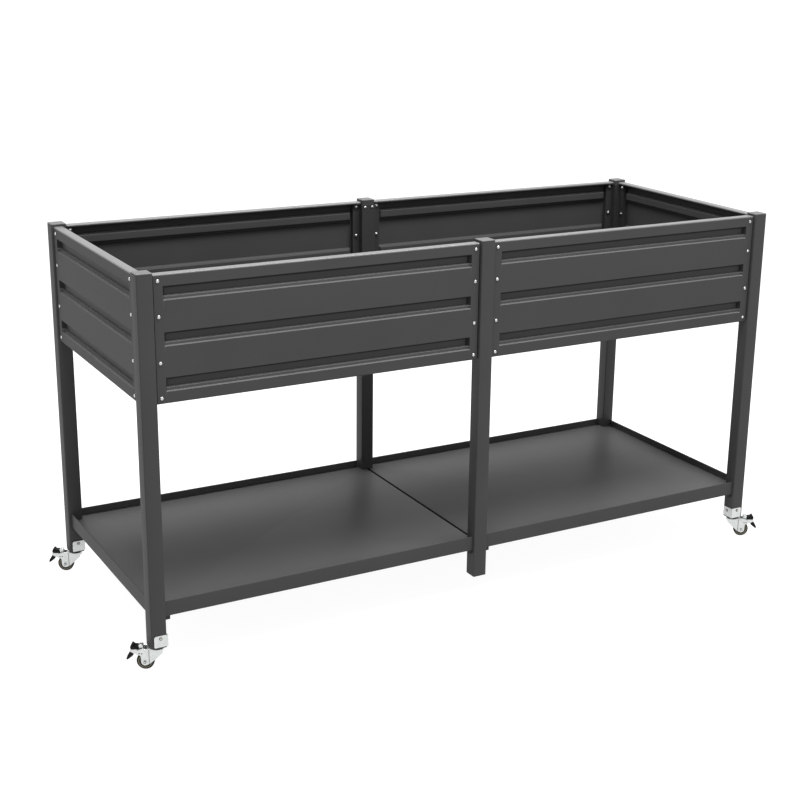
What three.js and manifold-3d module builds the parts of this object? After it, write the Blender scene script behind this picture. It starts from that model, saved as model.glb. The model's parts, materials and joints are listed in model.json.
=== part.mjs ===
// Raised planter on legs: a two-bay sheet-metal bed carried by six square posts, a two-tray shelf
// near the floor, and a braked swivel caster under each of the four corner posts.
// Millimetres, +Z up. The origin is on the floor, under the middle of the planter.
// +X runs along the length to the right, -Y is the front.

import * as THREE from "three";
import { mergeVertices } from "three/addons/utils/BufferGeometryUtils.js";
import Module from "manifold-3d";

const wasm = await Module();
wasm.setup();

// Overall size
const LENGTH = 1800;
const WIDTH = 680;
const HEIGHT = 956;
const POST_FOOT = 60; // underside of every post; the middle two hang clear of the floor

// Posts and caps
const POST = 38;
const POST_WALL = 1.5;
const POST_RADIUS = 2.5;
const CAP_PLATE = 3;
const CAP_PLUG = 12;
const GAP = 0.3;

// Wall panels
const SHEET = 1.2;
const RECESS = 8; // outer face of a panel or tray behind the outer faces of the posts
const PANEL_TOP = HEIGHT - 6.5;
const PANEL_HEIGHT = 297;
const PANEL_FOOT = PANEL_TOP - PANEL_HEIGHT;
const TOP_FLANGE = 24;
const TOP_FLANGE_TURN = 5;
const FOOT_FLANGE = 22;
const GROOVE_COUNT = 3;
const GROOVE_FIRST = 27; // top edge of the first groove below the panel's top
const GROOVE_PITCH = 105;
const GROOVE_DEPTH = 12;
const GROOVE_MARGIN = 24; // flat strip left at each end of a panel
const GROOVE_END_SLOPE = 7 / GROOVE_DEPTH;

// Joining brackets behind the panel ends
const BRACKET_SHEET = 1.5;
const RIDGE = GROOVE_DEPTH + SHEET; // back of a groove behind the panel's outer face
const WING = 40; // reach of a wing from the post's axis
const BRACKET_FOOT = PANEL_FOOT + 2 * SHEET + 1;
const BRACKET_TOP = PANEL_TOP - TOP_FLANGE_TURN - 3;

// Bed floor
const DRAIN_RADIUS = 5;
const DRAIN_COLUMNS = 4;
const DRAIN_ROWS = 2;
const BEAD_WIDTH = 14;
const BEAD_HEIGHT = 5;

// Shelf
const SHELF_RIM = 172;
const SHELF_LIP_FOOT = 134;
const SHELF_FLOOR = 152;
const SHELF_HEM = 3;
const SHELF_TAB = 33; // reach of a shelf bracket from the post's axis
const SHELF_TAB_FOOT = 123;
const RAIL_WIDTH = 56;
const RAIL_HEIGHT = 8;

// Casters; u runs from the swivel axis toward the wheel, z is measured down from the post's foot
const TRAIL = 27;
const TRAIL_TURN = 30; // the wheels stand turned by this many degrees
const WHEEL_RADIUS = 21;
const WHEEL_WIDTH = 17;
const HUB_RADIUS = 14.5;
const AXLE_RADIUS = 2.5;
const PLATE = 2;
const PLATE_HEIGHT = 30;
const PLATE_RADIUS = 6;
const RACE_RADIUS = 14;
const CHEEK = 2;
const CHEEK_INNER = WHEEL_WIDTH / 2 + 1.3;
const PEDAL_WIDTH = 15;
const PEDAL_PIVOT = [38.5, -13.5];
const PIN_RADIUS = 2;

const CHARCOAL = { color: 0x3f4042, roughness: 0.55, metalness: 0.25 };
const CHARCOAL_CAP = { color: 0x4a4b4d, roughness: 0.5, metalness: 0.25 };
const CHARCOAL_SHELF = { color: 0x4b4c4e, roughness: 0.5, metalness: 0.3 };
const ZINC = { color: 0xc6cac8, roughness: 0.35, metalness: 0.9 };
const STEEL = { color: 0x9a9d9c, roughness: 0.3, metalness: 0.95 };
const RUBBER = { color: 0x17171a, roughness: 0.8, metalness: 0 };
const HUB_PLASTIC = { color: 0x6d675b, roughness: 0.6, metalness: 0 };

const planter = new THREE.Group();

// Booleans

function toSolid(geometry) {
  const bare = new THREE.BufferGeometry();
  const loose = geometry.index ? geometry.toNonIndexed() : geometry;
  bare.setAttribute("position", loose.getAttribute("position"));
  const merged = mergeVertices(bare, 1e-4);
  return new wasm.Manifold(
    new wasm.Mesh({
      numProp: 3,
      vertProperties: new Float32Array(merged.attributes.position.array),
      triVerts: new Uint32Array(merged.index.array),
    }),
  );
}

function toGeometry(solid) {
  const mesh = solid.getMesh();
  const geometry = new THREE.BufferGeometry();
  geometry.setAttribute("position", new THREE.BufferAttribute(mesh.vertProperties, 3));
  geometry.setIndex(new THREE.BufferAttribute(mesh.triVerts, 1));
  const flat = geometry.toNonIndexed();
  flat.computeVertexNormals();
  return flat;
}

function join(pieces) {
  return pieces.map(toSolid).reduce((sum, solid) => sum.add(solid));
}

function cut(solid, cutters) {
  return cutters.map(toSolid).reduce((rest, cutter) => rest.subtract(cutter), solid);
}

// Basic shapes

function box([x0, x1], [y0, y1], [z0, z1]) {
  const geometry = new THREE.BoxGeometry(x1 - x0, y1 - y0, z1 - z0);
  geometry.translate((x0 + x1) / 2, (y0 + y1) / 2, (z0 + z1) / 2);
  return geometry;
}

function outline(points) {
  return new THREE.Shape(points.map(([x, y]) => new THREE.Vector2(x, y)));
}

// A shape in the XY plane raised from z0 to z1.
function raise(shape, z0, z1, curveSegments = 4) {
  const options = { depth: z1 - z0, bevelEnabled: false, curveSegments };
  return new THREE.ExtrudeGeometry(shape, options).translate(0, 0, z0);
}

// A shape drawn in the (y, z) plane and run along X from x0 to x1.
function runAlongX(shape, x0, x1) {
  const geometry = raise(shape, 0, x1 - x0);
  const turn = new THREE.Matrix4().makeBasis(
    new THREE.Vector3(0, 1, 0),
    new THREE.Vector3(0, 0, 1),
    new THREE.Vector3(1, 0, 0),
  );
  return geometry.applyMatrix4(turn).translate(x0, 0, 0);
}

// A shape drawn in the (x, z) plane and run along Y from y0 to y1.
function runAlongY(shape, y0, y1) {
  return raise(shape, 0, y1 - y0).rotateX(Math.PI / 2).translate(0, y1, 0);
}

function disc(radius, z0, z1, segments = 24) {
  const geometry = new THREE.CylinderGeometry(radius, radius, z1 - z0, segments);
  return geometry.rotateX(Math.PI / 2).translate(0, 0, (z0 + z1) / 2);
}

function roundedSquare(side, radius) {
  const half = side / 2;
  const shape = new THREE.Shape();
  shape.moveTo(-half + radius, -half);
  shape.lineTo(half - radius, -half);
  shape.absarc(half - radius, -half + radius, radius, -Math.PI / 2, 0);
  shape.lineTo(half, half - radius);
  shape.absarc(half - radius, half - radius, radius, 0, Math.PI / 2);
  shape.lineTo(-half + radius, half);
  shape.absarc(-half + radius, half - radius, radius, Math.PI / 2, Math.PI);
  shape.lineTo(-half, -half + radius);
  shape.absarc(-half + radius, -half + radius, radius, Math.PI, Math.PI * 1.5);
  return shape;
}

// A strip of sheet bent along a path; the thickness lies on the right of the way it runs.
function bentStrip(path, thickness) {
  const side = (a, b) => {
    const length = Math.hypot(b[0] - a[0], b[1] - a[1]);
    return [(b[1] - a[1]) / length, -(b[0] - a[0]) / length];
  };
  const far = path.map((point, i) => {
    const before = i > 0 ? side(path[i - 1], point) : side(point, path[i + 1]);
    const after = i < path.length - 1 ? side(point, path[i + 1]) : before;
    const sum = [before[0] + after[0], before[1] + after[1]];
    const scale = (2 * thickness) / (sum[0] ** 2 + sum[1] ** 2);
    return [point[0] + sum[0] * scale, point[1] + sum[1] * scale];
  });
  return outline([...path, ...far.reverse()]);
}

function add(parent, name, geometry, look, place = [0, 0, 0], turn = 0) {
  const mesh = new THREE.Mesh(geometry, new THREE.MeshStandardMaterial(look));
  mesh.name = name;
  mesh.position.set(...place);
  mesh.rotation.z = turn;
  parent.add(mesh);
}

// Posts

const POST_X = LENGTH / 2 - POST / 2;
const POST_Y = WIDTH / 2 - POST / 2;

// side is -1 at the left or front and +1 at the right or back; 0 is the middle of the length
const posts = [
  { tag: "front_left", sx: -1, sy: -1 },
  { tag: "front_middle", sx: 0, sy: -1 },
  { tag: "front_right", sx: 1, sy: -1 },
  { tag: "back_left", sx: -1, sy: 1 },
  { tag: "back_middle", sx: 0, sy: 1 },
  { tag: "back_right", sx: 1, sy: 1 },
];

function postTube() {
  const shape = roundedSquare(POST, POST_RADIUS);
  shape.holes.push(roundedSquare(POST - 2 * POST_WALL, POST_RADIUS - 1));
  return raise(shape, POST_FOOT, HEIGHT - CAP_PLATE - GAP, 3);
}

function square(side) {
  const half = side / 2;
  return outline([[-half, -half], [half, -half], [half, half], [-half, half]]);
}

function postCap() {
  const bevel = 0.8;
  const plate = new THREE.ExtrudeGeometry(roundedSquare(POST - 2 * bevel, POST_RADIUS), {
    depth: CAP_PLATE - 2 * bevel,
    bevelThickness: bevel,
    bevelSize: bevel,
    bevelSegments: 1,
    curveSegments: 2,
  });
  plate.translate(0, 0, HEIGHT - CAP_PLATE + bevel);
  const inside = POST - 2 * POST_WALL - 1.4;
  const plug = square(inside);
  plug.holes.push(square(inside - 4));
  const ring = raise(plug, HEIGHT - CAP_PLATE - CAP_PLUG, HEIGHT - CAP_PLATE + 1);
  return toGeometry(join([plate, ring]));
}

// Wall panels. In a panel's own frame X runs along it from 0 to its length, Y goes in from its
// outer face and Z is the real height.

// The section of one groove, drawn as (depth, height); grow thickens it into the sheet's back.
function grooveSection(top, grow) {
  const start = grow > 0 ? SHEET / 2 : -1;
  const rise = -start * 0.4;
  return outline([
    [start, top - 32 - rise - grow],
    [5 + grow, top - 29 - grow],
    [6.5 + grow, top - 26 - grow],
    [GROOVE_DEPTH + grow, top - 23 - grow],
    [GROOVE_DEPTH + grow, top - 6 + grow],
    [6.5 + grow, top - 4 + grow],
    [5 + grow, top - 2 + grow],
    [start, top + rise + grow],
  ]);
}

// A groove with ends that lean in toward its floor.
function groove(top, length, grow) {
  const reach = GROOVE_MARGIN - grow;
  const geometry = runAlongX(grooveSection(top, grow), reach, length - reach);
  const position = geometry.getAttribute("position");
  for (let i = 0; i < position.count; i += 1) {
    const lean = (position.getY(i) - grow / 2) * GROOVE_END_SLOPE;
    const inward = position.getX(i) < length / 2 ? lean : -lean;
    position.setX(i, position.getX(i) + inward);
  }
  return geometry;
}

function panel(length) {
  const section = bentStrip(
    [
      [FOOT_FLANGE, PANEL_FOOT],
      [0, PANEL_FOOT],
      [0, PANEL_TOP],
      [TOP_FLANGE, PANEL_TOP],
      [TOP_FLANGE, PANEL_TOP - TOP_FLANGE_TURN],
    ],
    SHEET,
  );
  const pieces = [runAlongX(section, 0, length)];
  const cutters = [];
  for (let i = 0; i < GROOVE_COUNT; i += 1) {
    const top = PANEL_TOP - GROOVE_FIRST - i * GROOVE_PITCH;
    pieces.push(groove(top, length, SHEET));
    cutters.push(groove(top, length, 0));
  }
  return toGeometry(cut(join(pieces), cutters));
}

// Brackets that wrap the inner faces of a post. In plan the post's axis is at 0, a wing runs
// along +X behind the panel beside it, and +Y goes into the bed.

const POST_HALF = POST / 2;
const PANEL_FACE = -POST_HALF + RECESS;

function cornerPath(reach, depth, returned) {
  const near = POST_HALF + GAP;
  const path = [[reach, depth], [near, depth], [near, near], [depth, near], [depth, reach]];
  if (returned === undefined) return path;
  return [[reach, returned], ...path, [returned, reach]];
}

function middlePath(reach, depth, returned) {
  const near = POST_HALF + GAP;
  const path = [[reach, depth], [near, depth], [near, near], [-near, near], [-near, depth], [-reach, depth]];
  if (returned === undefined) return path;
  return [[reach, returned], ...path, [-reach, returned]];
}

function joiningBracket(isMiddle) {
  const depth = PANEL_FACE + RIDGE;
  const returned = PANEL_FACE + SHEET + GAP;
  const path = isMiddle ? middlePath(WING, depth, returned) : cornerPath(WING, depth, returned);
  return raise(bentStrip(path, BRACKET_SHEET), BRACKET_FOOT, BRACKET_TOP);
}

function shelfBracket(isMiddle) {
  const depth = PANEL_FACE + SHELF_HEM + GAP;
  const path = isMiddle ? middlePath(SHELF_TAB, depth) : cornerPath(SHELF_TAB, depth);
  return raise(bentStrip(path, BRACKET_SHEET), SHELF_TAB_FOOT, SHELF_FLOOR - SHEET - GAP);
}

// Sheets that lie between the posts, in plan for the left bay: x from the outer end to the seam.

const SEAM = 0.75;

function bayOutline(inset) {
  const x0 = -LENGTH / 2 + RECESS + inset;
  const y0 = WIDTH / 2 - RECESS - inset;
  const cornerX = -LENGTH / 2 + POST + 0.5;
  const notchY = WIDTH / 2 - POST - 0.5;
  const middleX = -POST_HALF - 0.5;
  return [
    [cornerX, -y0], [middleX, -y0], [middleX, -notchY], [-SEAM, -notchY],
    [-SEAM, notchY], [middleX, notchY], [middleX, y0], [cornerX, y0],
    [cornerX, notchY], [x0, notchY], [x0, -notchY], [cornerX, -notchY],
  ];
}

const BAY_CENTRE = -LENGTH / 4;
const FLOOR_FOOT = PANEL_FOOT + SHEET + GAP;

function bedFloor() {
  const pieces = [raise(outline(bayOutline(SHEET + 0.8)), FLOOR_FOOT, FLOOR_FOOT + SHEET)];
  const cutters = [];
  const columnPitch = (LENGTH / 2 - 160) / DRAIN_COLUMNS;
  const rowPitch = WIDTH / (DRAIN_ROWS + 1);
  const beadReach = WIDTH / 2 - 70;
  // a stiffening bead pressed upward: its section is (distance across, height)
  const bead = (grow, low) => {
    const half = BEAD_WIDTH / 2 + grow;
    const high = FLOOR_FOOT + BEAD_HEIGHT + grow;
    return outline([[-half, low], [half, low], [half - 4, high], [-half + 4, high]]);
  };
  for (let i = 0; i < DRAIN_COLUMNS; i += 1) {
    const x = BAY_CENTRE + (i - (DRAIN_COLUMNS - 1) / 2) * columnPitch;
    for (let j = 0; j < DRAIN_ROWS; j += 1) {
      const y = (j - (DRAIN_ROWS - 1) / 2) * rowPitch;
      cutters.push(disc(DRAIN_RADIUS, FLOOR_FOOT - 1, FLOOR_FOOT + 3, 12).translate(x, y, 0));
    }
    if (i === DRAIN_COLUMNS - 1) continue;
    const beadX = x + columnPitch / 2;
    const skin = runAlongY(bead(SHEET, FLOOR_FOOT + SHEET / 2), -beadReach, beadReach);
    const hollow = runAlongY(bead(0, FLOOR_FOOT - 1), -beadReach + SHEET, beadReach - SHEET);
    pieces.push(skin.translate(beadX, 0, 0));
    cutters.push(hollow.translate(beadX, 0, 0));
  }
  return cut(join(pieces), cutters);
}

function shelfTray() {
  const x0 = -LENGTH / 2 + RECESS;
  const y0 = WIDTH / 2 - RECESS;
  const cornerX = -LENGTH / 2 + POST + 0.5;
  const notchY = WIDTH / 2 - POST - 0.5;
  const middleX = -POST_HALF - 0.5;
  // a wall with its top edge folded inward: the section is (distance in, height)
  const wall = outline([
    [0, SHELF_LIP_FOOT], [SHEET, SHELF_LIP_FOOT], [SHEET, SHELF_RIM - 5],
    [SHELF_HEM, SHELF_RIM - 5], [SHELF_HEM, SHELF_RIM], [0, SHELF_RIM],
  ]);
  const frontWall = runAlongX(wall, cornerX + GAP, middleX - GAP).translate(0, -y0, 0);
  const endWall = runAlongX(wall, -notchY + GAP, notchY - GAP)
    .rotateZ(-Math.PI / 2)
    .translate(x0, 0, 0);
  return join([
    raise(outline(bayOutline(SHEET / 2)), SHELF_FLOOR - SHEET, SHELF_FLOOR),
    frontWall,
    frontWall.clone().rotateZ(Math.PI).translate(cornerX + middleX, 0, 0),
    endWall,
    box([-SEAM - SHEET, -SEAM], [-notchY + 2, notchY - 2], [SHELF_LIP_FOOT, SHELF_FLOOR]),
  ]);
}

// A shallow channel between the middle posts, open downward.
function middleRail(top) {
  const half = RAIL_WIDTH / 2;
  const reach = WIDTH / 2 - POST - 2 * GAP - BRACKET_SHEET;
  const section = outline([
    [-half, top - RAIL_HEIGHT], [-half + BRACKET_SHEET, top - RAIL_HEIGHT],
    [-half + BRACKET_SHEET, top - BRACKET_SHEET], [half - BRACKET_SHEET, top - BRACKET_SHEET],
    [half - BRACKET_SHEET, top - RAIL_HEIGHT], [half, top - RAIL_HEIGHT],
    [half, top], [-half, top],
  ]);
  return runAlongY(section, -reach, reach);
}

// Casters. The fork's own frame has u along +X, the axle along Y and z from the post's foot.

// L-shaped bracket on the front and inner side of the post's foot, with its bottom plate and race.
function casterMount(mirror) {
  const half = POST_HALF;
  const near = half + GAP;
  const far = near + PLATE;
  const front = new THREE.Shape();
  front.moveTo(-half, 0);
  front.lineTo(far, 0);
  front.lineTo(far, PLATE_HEIGHT);
  front.lineTo(-half + PLATE_RADIUS, PLATE_HEIGHT);
  front.absarc(-half + PLATE_RADIUS, PLATE_HEIGHT - PLATE_RADIUS, PLATE_RADIUS, Math.PI / 2, Math.PI);
  const foot = -GAP - PLATE;
  const pieces = [
    runAlongY(front, -far, -near),
    box([near, far], [-far, half - 3], [foot, PLATE_HEIGHT - 2]),
    box([-half, far], [-far, half], [foot, -GAP]),
    box([-half, far], [-far, -near], [foot, 1]),
    disc(RACE_RADIUS, foot - 3, foot + 1),
    disc(4, foot - 9, foot),
  ];
  const geometry = toGeometry(join(pieces));
  return mirror ? mirrored(geometry) : geometry;
}

function mirrored(geometry) {
  const flipped = geometry.clone();
  const position = flipped.getAttribute("position");
  for (let i = 0; i < position.count; i += 3) {
    const [a, b, c] = [i, i + 1, i + 2].map((k) => [-position.getX(k), position.getY(k), position.getZ(k)]);
    position.setXYZ(i, ...a);
    position.setXYZ(i + 1, ...c);
    position.setXYZ(i + 2, ...b);
  }
  flipped.computeVertexNormals();
  return flipped;
}

const FORK_TOP = -GAP - PLATE - 3 - GAP; // top of the fork's bearing plate
const AXLE_Z = WHEEL_RADIUS - POST_FOOT;

function casterFork() {
  const low = FORK_TOP - CHEEK;
  const cheek = new THREE.Shape();
  cheek.moveTo(-15, FORK_TOP);
  cheek.lineTo(-15, FORK_TOP - 8);
  cheek.lineTo(5, AXLE_Z + 5);
  cheek.lineTo(TRAIL - 7, AXLE_Z - 6);
  cheek.absarc(TRAIL, AXLE_Z, 9, Math.PI * 1.23, Math.PI * 2);
  cheek.lineTo(TRAIL + 9, AXLE_Z + 15);
  cheek.lineTo(TRAIL + 17, AXLE_Z + 19);
  cheek.lineTo(TRAIL + 17, PEDAL_PIVOT[1] + 4);
  cheek.lineTo(TRAIL + 4, FORK_TOP);
  const outer = CHEEK_INNER + CHEEK;
  const plate = [
    runAlongY(cheek, -outer, -CHEEK_INNER),
    runAlongY(cheek, CHEEK_INNER, outer),
    box([-15, TRAIL - 4], [-outer, outer], [low, FORK_TOP]),
    disc(RACE_RADIUS + 2, low, FORK_TOP),
  ];
  const lying = (radius, length) =>
    new THREE.CylinderGeometry(radius, radius, length, 20);
  const cutters = [
    disc(4 + GAP, low - 1, FORK_TOP + 1, 20),
    lying(AXLE_RADIUS + GAP, 60).translate(TRAIL, 0, AXLE_Z),
    lying(PIN_RADIUS + GAP, 60).translate(PEDAL_PIVOT[0], 0, PEDAL_PIVOT[1]),
  ];
  return toGeometry(cut(join(plate), cutters));
}

// A body turned about the axle from a closed (radius, side) profile.
function turned(profile, segments) {
  const points = profile.map(([radius, side]) => new THREE.Vector2(radius, side));
  return new THREE.LatheGeometry(points, segments).translate(TRAIL, 0, AXLE_Z);
}

function casterAxle() {
  const outer = CHEEK_INNER + CHEEK + GAP;
  return turned(
    [
      [0, -outer - 4], [3.5, -outer - 3.6], [5, -outer - 2], [5, -outer],
      [AXLE_RADIUS, -outer], [AXLE_RADIUS, outer], [5, outer], [5, outer + 3], [0, outer + 3],
    ],
    20,
  );
}

function casterTyre() {
  const half = WHEEL_WIDTH / 2;
  const bore = HUB_RADIUS + GAP;
  return turned(
    [
      [bore, -half + 1.5], [WHEEL_RADIUS - 2, -half + 1], [WHEEL_RADIUS, -half + 5],
      [WHEEL_RADIUS, half - 5], [WHEEL_RADIUS - 2, half - 1], [bore, half - 1.5],
      [bore, -half + 1.5],
    ],
    32,
  );
}

function casterHub() {
  const half = WHEEL_WIDTH / 2;
  const bore = AXLE_RADIUS + GAP;
  return turned(
    [
      [bore, -half], [6, -half], [6, -half + 3], [HUB_RADIUS, -half + 1.5],
      [HUB_RADIUS, half - 1.5], [6, half - 3], [6, half], [bore, half], [bore, -half],
    ],
    20,
  );
}

// Brake rocker: a lever above the wheel, an upper and a lower tread, and its pin.
function casterPedal() {
  const half = PEDAL_WIDTH / 2;
  const lever = outline([
    [31.5, -9], [31.5, -3.8], [43, -2.5], [58, -2], [58.5, 4.5], [61, 5], [64, -1], [64, -10],
    [71, -19], [73.5, -33], [70, -34.5], [55, -21.5], [50, -14], [48.5, -22],
    [46, -24], [43.5, -22.5], [42, -18], [35, -16.8], [35, -10.5],
  ].reverse());
  const pin = new THREE.CylinderGeometry(PIN_RADIUS, PIN_RADIUS, 2 * (CHEEK_INNER + CHEEK + 1), 20);
  return toGeometry(
    join([
      runAlongY(lever, -half, half),
      pin.translate(PEDAL_PIVOT[0], 0, PEDAL_PIVOT[1]),
    ]),
  );
}

// Assembly

for (const { tag, sx, sy } of posts) {
  const place = [sx * POST_X, sy * POST_Y, 0];
  const isMiddle = sx === 0;
  add(planter, `post_${tag}`, postTube(), CHARCOAL, place);
  add(planter, `post_cap_${tag}`, postCap(), CHARCOAL_CAP, place);
  // corner brackets are turned so that their wings run along both walls
  const quarter = { "-1,-1": 0, "1,-1": 1, "1,1": 2, "-1,1": 3, "0,-1": 0, "0,1": 2 }[`${sx},${sy}`];
  const turn = (quarter * Math.PI) / 2;
  add(planter, `joining_bracket_${tag}`, joiningBracket(isMiddle), CHARCOAL, place, turn);
  add(planter, `shelf_bracket_${tag}`, shelfBracket(isMiddle), CHARCOAL, place, turn);
}

const END_GAP = 0.5;
const longPanel = LENGTH / 2 - POST - POST / 2 - 2 * END_GAP;
const shortPanel = WIDTH - 2 * POST - 2 * END_GAP;
const wallX = LENGTH / 2 - RECESS;
const wallY = WIDTH / 2 - RECESS;
const outerX = LENGTH / 2 - POST - END_GAP;
const innerX = POST / 2 + END_GAP;
const endY = WIDTH / 2 - POST - END_GAP;
add(planter, "panel_front_left", panel(longPanel), CHARCOAL, [-outerX, -wallY, 0]);
add(planter, "panel_front_right", panel(longPanel), CHARCOAL, [innerX, -wallY, 0]);
add(planter, "panel_back_left", panel(longPanel), CHARCOAL, [-innerX, wallY, 0], Math.PI);
add(planter, "panel_back_right", panel(longPanel), CHARCOAL, [outerX, wallY, 0], Math.PI);
add(planter, "panel_left_end", panel(shortPanel), CHARCOAL, [-wallX, endY, 0], -Math.PI / 2);
add(planter, "panel_right_end", panel(shortPanel), CHARCOAL, [wallX, -endY, 0], Math.PI / 2);

add(planter, "bed_floor_left", toGeometry(bedFloor()), CHARCOAL);
add(planter, "bed_floor_right", toGeometry(bedFloor()), CHARCOAL, [0, 0, 0], Math.PI);
add(planter, "bed_middle_rail", middleRail(FLOOR_FOOT - GAP), CHARCOAL);
add(planter, "shelf_tray_left", toGeometry(shelfTray()), CHARCOAL_SHELF);
add(planter, "shelf_tray_right", toGeometry(shelfTray()), CHARCOAL_SHELF, [0, 0, 0], Math.PI);
add(planter, "shelf_middle_rail", middleRail(SHELF_LIP_FOOT - GAP), CHARCOAL);

for (const { tag, sx, sy } of posts.filter((post) => post.sx !== 0)) {
  const caster = new THREE.Group();
  caster.position.set(sx * POST_X, sy * POST_Y, POST_FOOT);
  planter.add(caster);
  add(caster, `caster_mount_${tag}`, casterMount(sx > 0), ZINC);
  // the wheels of the left end trail to the left and those of the right end to the right
  const heading = THREE.MathUtils.degToRad(sx < 0 ? 180 - TRAIL_TURN : -TRAIL_TURN);
  add(caster, `caster_fork_${tag}`, casterFork(), ZINC, [0, 0, 0], heading);
  add(caster, `caster_axle_${tag}`, casterAxle(), STEEL, [0, 0, 0], heading);
  add(caster, `caster_tyre_${tag}`, casterTyre(), RUBBER, [0, 0, 0], heading);
  add(caster, `caster_hub_${tag}`, casterHub(), HUB_PLASTIC, [0, 0, 0], heading);
  add(caster, `caster_pedal_${tag}`, casterPedal(), RUBBER, [0, 0, 0], heading);
}

export default planter;
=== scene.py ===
"""Visual model of the raised planter.

Shapes are worked out in millimetres and turned into metres by MM; the camera and the studio are in metres.
"""

import json
import math

import bmesh
import bpy
from mathutils import Matrix, Vector


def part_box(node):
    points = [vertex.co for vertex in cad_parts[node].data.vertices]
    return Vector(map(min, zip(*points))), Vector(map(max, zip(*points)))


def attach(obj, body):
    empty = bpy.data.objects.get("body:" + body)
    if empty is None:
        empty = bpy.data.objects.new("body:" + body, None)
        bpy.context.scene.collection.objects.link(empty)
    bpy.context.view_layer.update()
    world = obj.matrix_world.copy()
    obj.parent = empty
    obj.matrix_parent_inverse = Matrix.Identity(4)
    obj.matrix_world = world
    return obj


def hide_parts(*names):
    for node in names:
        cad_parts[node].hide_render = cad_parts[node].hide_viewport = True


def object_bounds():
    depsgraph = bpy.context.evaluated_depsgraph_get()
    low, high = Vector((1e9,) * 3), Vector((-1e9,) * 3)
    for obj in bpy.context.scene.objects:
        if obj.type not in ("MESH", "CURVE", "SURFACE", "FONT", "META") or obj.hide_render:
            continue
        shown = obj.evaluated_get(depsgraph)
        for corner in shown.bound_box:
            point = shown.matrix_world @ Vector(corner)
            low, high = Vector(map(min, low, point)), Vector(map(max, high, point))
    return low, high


MM = 0.001
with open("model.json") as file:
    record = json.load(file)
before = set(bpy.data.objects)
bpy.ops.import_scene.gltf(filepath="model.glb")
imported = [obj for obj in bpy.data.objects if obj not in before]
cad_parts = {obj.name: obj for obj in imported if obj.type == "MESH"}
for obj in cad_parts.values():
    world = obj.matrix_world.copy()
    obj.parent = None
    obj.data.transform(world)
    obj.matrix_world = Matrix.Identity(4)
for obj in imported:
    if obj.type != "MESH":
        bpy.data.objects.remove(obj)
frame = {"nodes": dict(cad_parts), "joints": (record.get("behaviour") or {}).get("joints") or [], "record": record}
cad_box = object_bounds()
nodes = frame["nodes"]
joints = {joint["name"]: joint for joint in frame["joints"]}

ENDS = ("left", "middle", "right")
SIDES = ("front", "back")
CORNERS = [f"{side}_{end}" for side in SIDES for end in ("left", "right")]
POSTS = [f"{side}_{end}" for side in SIDES for end in ENDS]
ROOT = "planter"


def box_mm(node):
    """The lowest and highest corner of a CAD node, in millimetres."""
    low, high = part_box(node)
    return low / MM, high / MM


# Camera, at the photograph's viewing angle

CAMERA_PLACE = (-1.9074, -3.3625, 1.6627)
CAMERA_AZIMUTH = math.radians(-30.43)
CAMERA_ELEVATION = math.radians(17.02)
CAMERA_ROLL = math.radians(1.09)
CAMERA_LENS = 66.38
CAMERA_SHIFT = (-0.05, -0.0125)


def make_camera():
    cos_e = math.cos(CAMERA_ELEVATION)
    back = Vector((
        math.sin(CAMERA_AZIMUTH) * cos_e,
        -math.cos(CAMERA_AZIMUTH) * cos_e,
        math.sin(CAMERA_ELEVATION),
    ))
    right = (-back).cross(Vector((0, 0, 1))).normalized()
    up = right.cross(-back)
    cos_r, sin_r = math.cos(CAMERA_ROLL), math.sin(CAMERA_ROLL)
    axes = (right * cos_r + up * sin_r, up * cos_r - right * sin_r, back)
    data = bpy.data.cameras.new("camera")
    data.lens = CAMERA_LENS
    data.sensor_width = 36
    data.shift_x, data.shift_y = CAMERA_SHIFT
    data.clip_end = 500
    camera = bpy.data.objects.new("camera", data)
    turn = Matrix(axes).transposed().to_4x4()
    camera.matrix_world = Matrix.Translation(CAMERA_PLACE) @ turn
    bpy.context.scene.collection.objects.link(camera)
    bpy.context.scene.camera = camera


# Materials


def new_material(name):
    material = bpy.data.materials.new(name)
    material.use_nodes = True
    tree = material.node_tree
    return material, tree, tree.nodes["Principled BSDF"]


def noise(tree, scale, detail=3.0, roughness=0.5):
    """A noise field over the piece's own coordinates."""
    place = tree.nodes.new("ShaderNodeTexCoord")
    field = tree.nodes.new("ShaderNodeTexNoise")
    field.inputs["Scale"].default_value = scale
    field.inputs["Detail"].default_value = detail
    field.inputs["Roughness"].default_value = roughness
    tree.links.new(place.outputs["Object"], field.inputs["Vector"])
    return field.outputs["Fac"]


def spread(tree, value, low, high):
    """Maps a noise value from its usual middle range to low..high."""
    node = tree.nodes.new("ShaderNodeMapRange")
    node.inputs["From Min"].default_value = 0.3
    node.inputs["From Max"].default_value = 0.7
    node.inputs["To Min"].default_value = low
    node.inputs["To Max"].default_value = high
    tree.links.new(value, node.inputs["Value"])
    return node.outputs["Result"]


def blend_colour(tree, value, dark, light):
    node = tree.nodes.new("ShaderNodeMix")
    node.data_type = "RGBA"
    node.inputs["A"].default_value = (*dark, 1)
    node.inputs["B"].default_value = (*light, 1)
    tree.links.new(value, node.inputs["Factor"])
    return node.outputs["Result"]


def bump(tree, height, shader, strength, distance):
    node = tree.nodes.new("ShaderNodeBump")
    node.inputs["Strength"].default_value = strength
    node.inputs["Distance"].default_value = distance
    tree.links.new(height, node.inputs["Height"])
    tree.links.new(node.outputs["Normal"], shader.inputs["Normal"])


def shade(colour, factor):
    return tuple(channel * factor for channel in colour)


COAT_SPECULAR = 0.2
PLASTIC_SPECULAR = 0.15


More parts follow.
